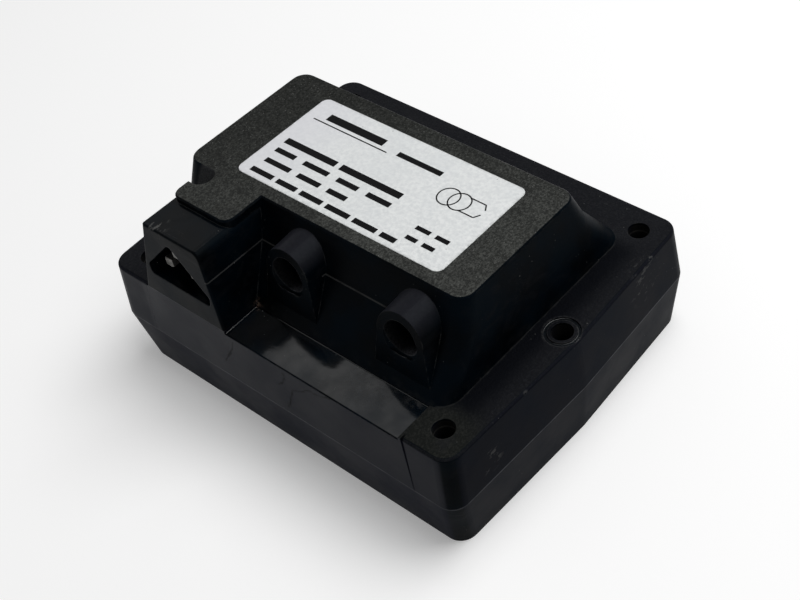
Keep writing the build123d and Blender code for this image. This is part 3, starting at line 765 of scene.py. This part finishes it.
def metal(name, dark, bright, base_rough):
    """Drawn metal with a fine grain along it and dull tarnish."""
    s = Shader(name)
    drawn = s.noise(0.25, 2.0, 0.5, s.stretched((1.0, 0.08, 1.0)))
    tarnish = s.noise(1.8, 4.0, 0.6)
    colour = s.mix(s.ramp(tarnish, 0.35, 0.7), bright, dark)
    colour = s.mix(s.times(s.ramp(drawn, 0.4, 0.7), 0.4), colour, dark)
    roughness = s.plus(base_rough, s.times(tarnish, 0.25))
    return s.finish(colour, roughness, s.bump(drawn, 0.02), Metallic=1.0)


def plain_inside(name, dark, bright, size, roughness):
    """Finish of a piece inside the housing: two tones, a fine grain and a matching gloss."""
    s = Shader(name)
    tone = s.noise(size, 4.0, 0.6)
    fine = s.noise(size * 0.12, 2.0, 0.5)
    colour = s.mix(s.ramp(tone, 0.3, 0.7), dark, bright)
    rough = s.ramp(fine, 0.3, 0.7, roughness - 0.08, roughness + 0.1)
    return s.finish(colour, rough, s.bump(fine, 0.05))


def laminations():
    """Edges of the stacked sheets, in lines one sheet apart."""
    s = Shader("core_sheets")
    height = s.axes()[2]
    line = s.math("FRACT", s.math("DIVIDE", height, SHEET_THICKNESS * MM))
    gap = s.ramp(line, 0.12, 0.0)
    rust = s.noise(3.0, 4.0, 0.6)
    colour = s.mix(s.ramp(rust, 0.35, 0.7), SHEET_STEEL, SHEET_RUST)
    colour = s.mix(gap, colour, SHEET_GAP)
    roughness = s.ramp(rust, 0.3, 0.7, 0.35, 0.6)
    return s.finish(colour, roughness, s.bump(s.inverse(gap), 0.05), Metallic=0.85)


def wound_copper():
    """Turns of enamelled wire side by side."""
    s = Shader("wound_copper")
    turn = s.math("FRACT", s.math("DIVIDE", s.axes()[0], WIRE_PITCH * MM))
    crest = s.math("SINE", s.times(turn, math.pi))
    tone = s.noise(2.5, 3.0, 0.5)
    colour = s.mix(s.ramp(tone, 0.3, 0.7), *COPPER_TONES)
    colour = s.mix(s.ramp(crest, 0.35, 0.0), colour, COPPER_GAPS)
    return s.finish(colour, 0.32, s.bump(crest, 0.1), Metallic=0.9)


# Meshes

def mesh_object(name, bm, material):
    """Object at the origin from a bmesh whose places are in metres."""
    bmesh.ops.recalc_face_normals(bm, faces=bm.faces)
    mesh = bpy.data.meshes.new(name)
    bm.to_mesh(mesh)
    bm.free()
    mesh.materials.append(material)
    made = bpy.data.objects.new(name, mesh)
    bpy.context.scene.collection.objects.link(made)
    return made


def seat(made, slot, *nodes):
    """Fixes a piece to the body, in place of the nodes named. The slot is not used."""
    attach(made, "root")
    if nodes:
        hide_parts(*nodes)
    return made


def rounded_outline(length, width, radius):
    """Points of a rectangle with round corners, in millimetres."""
    points = []
    for corner in range(4):
        side_x = 1 if corner in (0, 3) else -1
        side_y = 1 if corner < 2 else -1
        for i in range(CORNER_STEPS + 1):
            angle = math.radians(90.0 * (corner + i / CORNER_STEPS))
            points.append((side_x * (length / 2 - radius) + radius * math.cos(angle),
                           side_y * (width / 2 - radius) + radius * math.sin(angle)))
    return points


def add_walls(bm, low_loop, high_loop):
    """Quads between two closed loops of vertices."""
    for i in range(len(low_loop)):
        j = (i + 1) % len(low_loop)
        bm.faces.new((low_loop[i], low_loop[j], high_loop[j], high_loop[i]))


def add_prism(bm, points, low, high):
    """Closed prism over an outline, between two heights in millimetres."""
    foot = [bm.verts.new(mm(px, py, low)) for px, py in points]
    head = [bm.verts.new(mm(px, py, high)) for px, py in points]
    bm.faces.new(head)
    bm.faces.new(foot[::-1])
    add_walls(bm, foot, head)


def label_sheet():
    """Label film with a softened upper edge."""
    bm = bmesh.new()
    rings = ((0.0, 0.0), (0.0, LABEL_THICKNESS - LABEL_BEVEL), (LABEL_BEVEL, LABEL_THICKNESS))
    centre_x, centre_y = LABEL_CENTRE
    loops = []
    for inset, height in rings:
        length, width = LABEL_SIZE[0] - 2 * inset, LABEL_SIZE[1] - 2 * inset
        outline = rounded_outline(length, width, LABEL_RADIUS - inset)
        loops.append([bm.verts.new(mm(centre_x + px, centre_y + py, HUMP_TOP + height))
                      for px, py in outline])
    for low, high in zip(loops, loops[1:]):
        add_walls(bm, low, high)
    bm.faces.new(loops[0][::-1])
    bm.faces.new(loops[-1])
    made = mesh_object("label_sheet", bm, label_film())
    made.data.shade_smooth()
    made.data.set_sharp_from_angle(angle=math.radians(SHARP_ANGLE))
    return seat(made, "label", "rating_label")


def bar_row_tree(ink):
    """Row of bars whose lengths vary by a seed, one after the other with an even gap."""
    tree = bpy.data.node_groups.new("bar_row", "GeometryNodeTree")
    sockets = {"Count": "Int", "Shortest": "Float", "Longest": "Float", "Gap": "Float",
               "Width": "Float", "Height": "Float", "Start": "Vector", "Seed": "Int"}
    for name, kind in sockets.items():
        tree.interface.new_socket(name, in_out="INPUT", socket_type="NodeSocket" + kind)
    tree.interface.new_socket("Geometry", in_out="OUTPUT", socket_type="NodeSocketGeometry")
    given = tree.nodes.new("NodeGroupInput").outputs
    done = tree.nodes.new("NodeGroupOutput")

    def add(kind, links, operation=None):
        made = tree.nodes.new(kind)
        if operation:
            made.operation = operation
        for key, value in links.items():
            socket = made.inputs[key]
            if isinstance(value, bpy.types.NodeSocket):
                tree.links.new(value, socket)
            else:
                socket.default_value = value
        return made

    row = add("GeometryNodeMeshLine", {"Count": given["Count"], "Offset": (0.0, 0.0, 0.0)})
    length = add("FunctionNodeRandomValue",
                 {2: given["Shortest"], 3: given["Longest"], "Seed": given["Seed"]})
    step = add("ShaderNodeMath", {0: length.outputs[1], 1: given["Gap"]}, "ADD")
    passed = add("GeometryNodeAccumulateField", {0: step.outputs[0]})
    half = add("ShaderNodeMath", {0: length.outputs[1], 1: 0.5}, "MULTIPLY")
    middle = add("ShaderNodeMath", {0: passed.outputs["Trailing"], 1: half.outputs[0]}, "ADD")
    along = add("ShaderNodeCombineXYZ", {"X": middle.outputs[0]})
    place = add("ShaderNodeVectorMath", {0: along.outputs[0], 1: given["Start"]}, "ADD")
    points = add("GeometryNodeSetPosition",
                 {"Geometry": row.outputs[0], "Offset": place.outputs[0]})
    stored = add("GeometryNodeCaptureAttribute", {"Geometry": points.outputs[0]})
    outline = add("GeometryNodeCurvePrimitiveQuadrilateral", {"Width": 1.0, "Height": 1.0})
    face = add("GeometryNodeFillCurve", {"Curve": outline.outputs[0]})
    size = add("ShaderNodeCombineXYZ", {"X": length.outputs[1], "Y": given["Width"], "Z": 1.0})
    bars = add("GeometryNodeInstanceOnPoints",
               {"Points": stored.outputs[0], "Instance": face.outputs[0], "Scale": size.outputs[0]})
    real = add("GeometryNodeRealizeInstances", {"Geometry": bars.outputs[0]})
    thick = add("GeometryNodeExtrudeMesh",
                {"Mesh": real.outputs[0], "Offset Scale": given["Height"]})
    inked = add("GeometryNodeSetMaterial", {"Geometry": thick.outputs[0], "Material": ink})
    tree.links.new(inked.outputs[0], done.inputs[0])
    return tree


def from_tree(tree, values):
    """Mesh that a tree makes with the given inputs."""
    blank = bpy.data.meshes.new("blank")
    carrier = bpy.data.objects.new("carrier", blank)
    bpy.context.scene.collection.objects.link(carrier)
    modifier = carrier.modifiers.new("tree", "NODES")
    modifier.node_group = tree
    sockets = {item.name: item.identifier for item in tree.interface.items_tree
               if item.in_out == "INPUT"}
    for name, value in values.items():
        modifier[sockets[name]] = value
    graph = bpy.context.evaluated_depsgraph_get()
    mesh = bpy.data.meshes.new_from_object(carrier.evaluated_get(graph), depsgraph=graph)
    bpy.data.objects.remove(carrier)
    bpy.data.meshes.remove(blank)
    return mesh


def add_ring(bm, middle, radius, low, high):
    """Ring of a stroke, closed on all sides."""
    inner, outer = radius - STROKE / 2, radius + STROKE / 2
    corners = ((outer, low), (outer, high), (inner, high), (inner, low))
    rows = []
    for i in range(RING_STEPS):
        angle = math.radians(360.0 * i / RING_STEPS)
        ray = (math.cos(angle), math.sin(angle))
        rows.append([bm.verts.new(mm(middle[0] + r * ray[0], middle[1] + r * ray[1], height))
                     for r, height in corners])
    for i in range(RING_STEPS):
        add_walls(bm, rows[(i + 1) % RING_STEPS], rows[i])


def add_stroke(bm, a, b, low, high):
    """Straight stroke between two points."""
    along = (Vector(b) - Vector(a)).normalized()
    side = Vector((-along.y, along.x)) * (STROKE / 2)
    corners = [Vector(a) - side, Vector(b) - side, Vector(b) + side, Vector(a) + side]
    add_prism(bm, [(c.x, c.y) for c in corners], low, high)


def label_print():
    """Plain bars, a rule, and the sign for two coupled windings."""
    ink = print_ink()
    tree = bar_row_tree(ink)
    base = HUMP_TOP + LABEL_THICKNESS
    bm = bmesh.new()
    for left, middle, thickness, count, shortest, longest, gap, seed in PRINT_LINES:
        mesh = from_tree(tree, {
            "Count": count, "Shortest": shortest * MM, "Longest": longest * MM, "Gap": gap * MM,
            "Width": thickness * MM, "Height": PRINT_HEIGHT * MM,
            "Start": mm(left, middle, base), "Seed": seed,
        })
        bm.from_mesh(mesh)
        bpy.data.meshes.remove(mesh)
    top = base + PRINT_HEIGHT
    add_stroke(bm, (RULE_X[0], RULE_Y), (RULE_X[1], RULE_Y), base, top)
    for x in COILS_X:
        add_ring(bm, (x, COILS_Y), COIL_RADIUS, base, top)
    for side in (-1, 1):
        root = (COILS_X[1] + LEG_ROOT * COIL_RADIUS, COILS_Y + side * LEG_SPREAD * COIL_RADIUS)
        bend = (LEGS_X[0], root[1])
        tip = (LEGS_X[1], COILS_Y + side * TIP_SPREAD * COIL_RADIUS)
        add_stroke(bm, root, bend, base, top)
        add_stroke(bm, bend, tip, base, top)
    made = mesh_object("label_print", bm, ink)
    return seat(made, "label")


# Floor, light and camera

def seen_rays(tree):
    """One for rays of the camera, of mirrors and through clear pieces."""
    path = tree.nodes.new("ShaderNodeLightPath")
    value = path.outputs["Is Camera Ray"]
    for name in ("Is Glossy Ray", "Is Transmission Ray"):
        made = tree.nodes.new("ShaderNodeMath")
        made.operation = "MAXIMUM"
        tree.links.new(value, made.inputs[0])
        tree.links.new(path.outputs[name], made.inputs[1])
        value = made.outputs[0]
    return value


def stage():
    """Pale floor, whose glow grows with distance so that it meets the background."""
    floor_mesh = bpy.data.meshes.new("floor")
    corners = [(side_x * FLOOR_REACH, side_y * FLOOR_REACH, 0)
               for side_x, side_y in ((-1, -1), (1, -1), (1, 1), (-1, 1))]
    floor_mesh.from_pydata(corners, [], [(0, 1, 2, 3)])
    floor = bpy.data.objects.new("floor", floor_mesh)
    bpy.context.scene.collection.objects.link(floor)
    s = Shader("floor_paper")
    s.put(s.surface.inputs["Emission Color"], WHITE)
    glow = s.ramp(s.reach(*s.axes()[:2]), *GLOW_DISTANCE, *GLOW)
    s.put(s.surface.inputs["Emission Strength"], s.times(seen_rays(s.tree), glow))
    floor_mesh.materials.append(s.finish(PAPER, 0.9, Specular_IOR_Level=0.0))


def lamp():
    """One wide soft light, above and behind."""
    data = bpy.data.lights.new("overhead", "AREA")
    data.shape = "RECTANGLE"
    data.size = data.size_y = LAMP_SIZE
    data.energy = LAMP_POWER
    made = bpy.data.objects.new("overhead", data)
    made.location = LAMP_PLACE
    made.rotation_mode = "QUATERNION"
    made.rotation_quaternion = (LAMP_TARGET - LAMP_PLACE).to_track_quat("-Z", "Y")
    bpy.context.scene.collection.objects.link(made)


def world():
    """White background, dimmer as a light than as it is seen."""
    made = bpy.data.worlds.new("studio")
    made.use_nodes = True
    nodes = made.node_tree.nodes
    links = made.node_tree.links
    nodes.clear()
    output = nodes.new("ShaderNodeOutputWorld")
    mix = nodes.new("ShaderNodeMixShader")
    links.new(seen_rays(made.node_tree), mix.inputs[0])
    for socket, strength in zip(mix.inputs[1:], (SKY_LIGHT, SKY_SEEN)):
        background = nodes.new("ShaderNodeBackground")
        background.inputs["Color"].default_value = (*WHITE, 1.0)
        background.inputs["Strength"].default_value = strength
        links.new(background.outputs[0], socket)
    links.new(mix.outputs[0], output.inputs[0])
    bpy.context.scene.world = made


def camera():
    """Camera that sees the part as the photograph does."""
    data = bpy.data.cameras.new("camera")
    data.lens = CAMERA_LENS
    data.sensor_width = CAMERA_SENSOR
    data.shift_x, data.shift_y = CAMERA_SHIFT
    data.clip_start = CAMERA_CLIP
    made = bpy.data.objects.new("camera", data)
    turn = Matrix((CAMERA_RIGHT, CAMERA_UP, CAMERA_BACK)).transposed()
    made.matrix_world = Matrix.Translation(CAMERA_PLACE) @ turn.to_4x4()
    bpy.context.scene.collection.objects.link(made)
    bpy.context.scene.camera = made


def dress_nodes():
    """Gives each carried-over CAD node its finish."""
    nickel, steel = (metal(name, *look) for name, look in METALS.items())
    inside = {name: plain_inside(name, *look) for name, look in INSIDE.items()}
    copper, core = wound_copper(), laminations()
    insulation = inside["lead_insulation"]
    finishes = {
        "housing": housing_plastic(), "potting_resin": resin(), "core_band": steel,
        "primary_wrap": inside["winding_tape"], "lead_line": insulation, "lead_neutral": insulation,
        "midpoint_link": insulation, "lead_earth": inside["earth_insulation"],
    }
    families = {
        "winding": copper, "bobbin": inside["bobbin_plastic"], "stack": core, "shunt": core,
        "hv_lead": inside["silicone_insulation"],
    }
    for name, node in frame["nodes"].items():
        matches = [look for word, look in families.items() if word in name]
        finish = finishes.get(name) or (matches[0] if matches else nickel)
        node.data.materials.clear()
        node.data.materials.append(finish)


camera()
world()
stage()
lamp()
dress_nodes()
label_sheet()
label_print()

bpy.context.scene.view_settings.view_transform = "Standard"
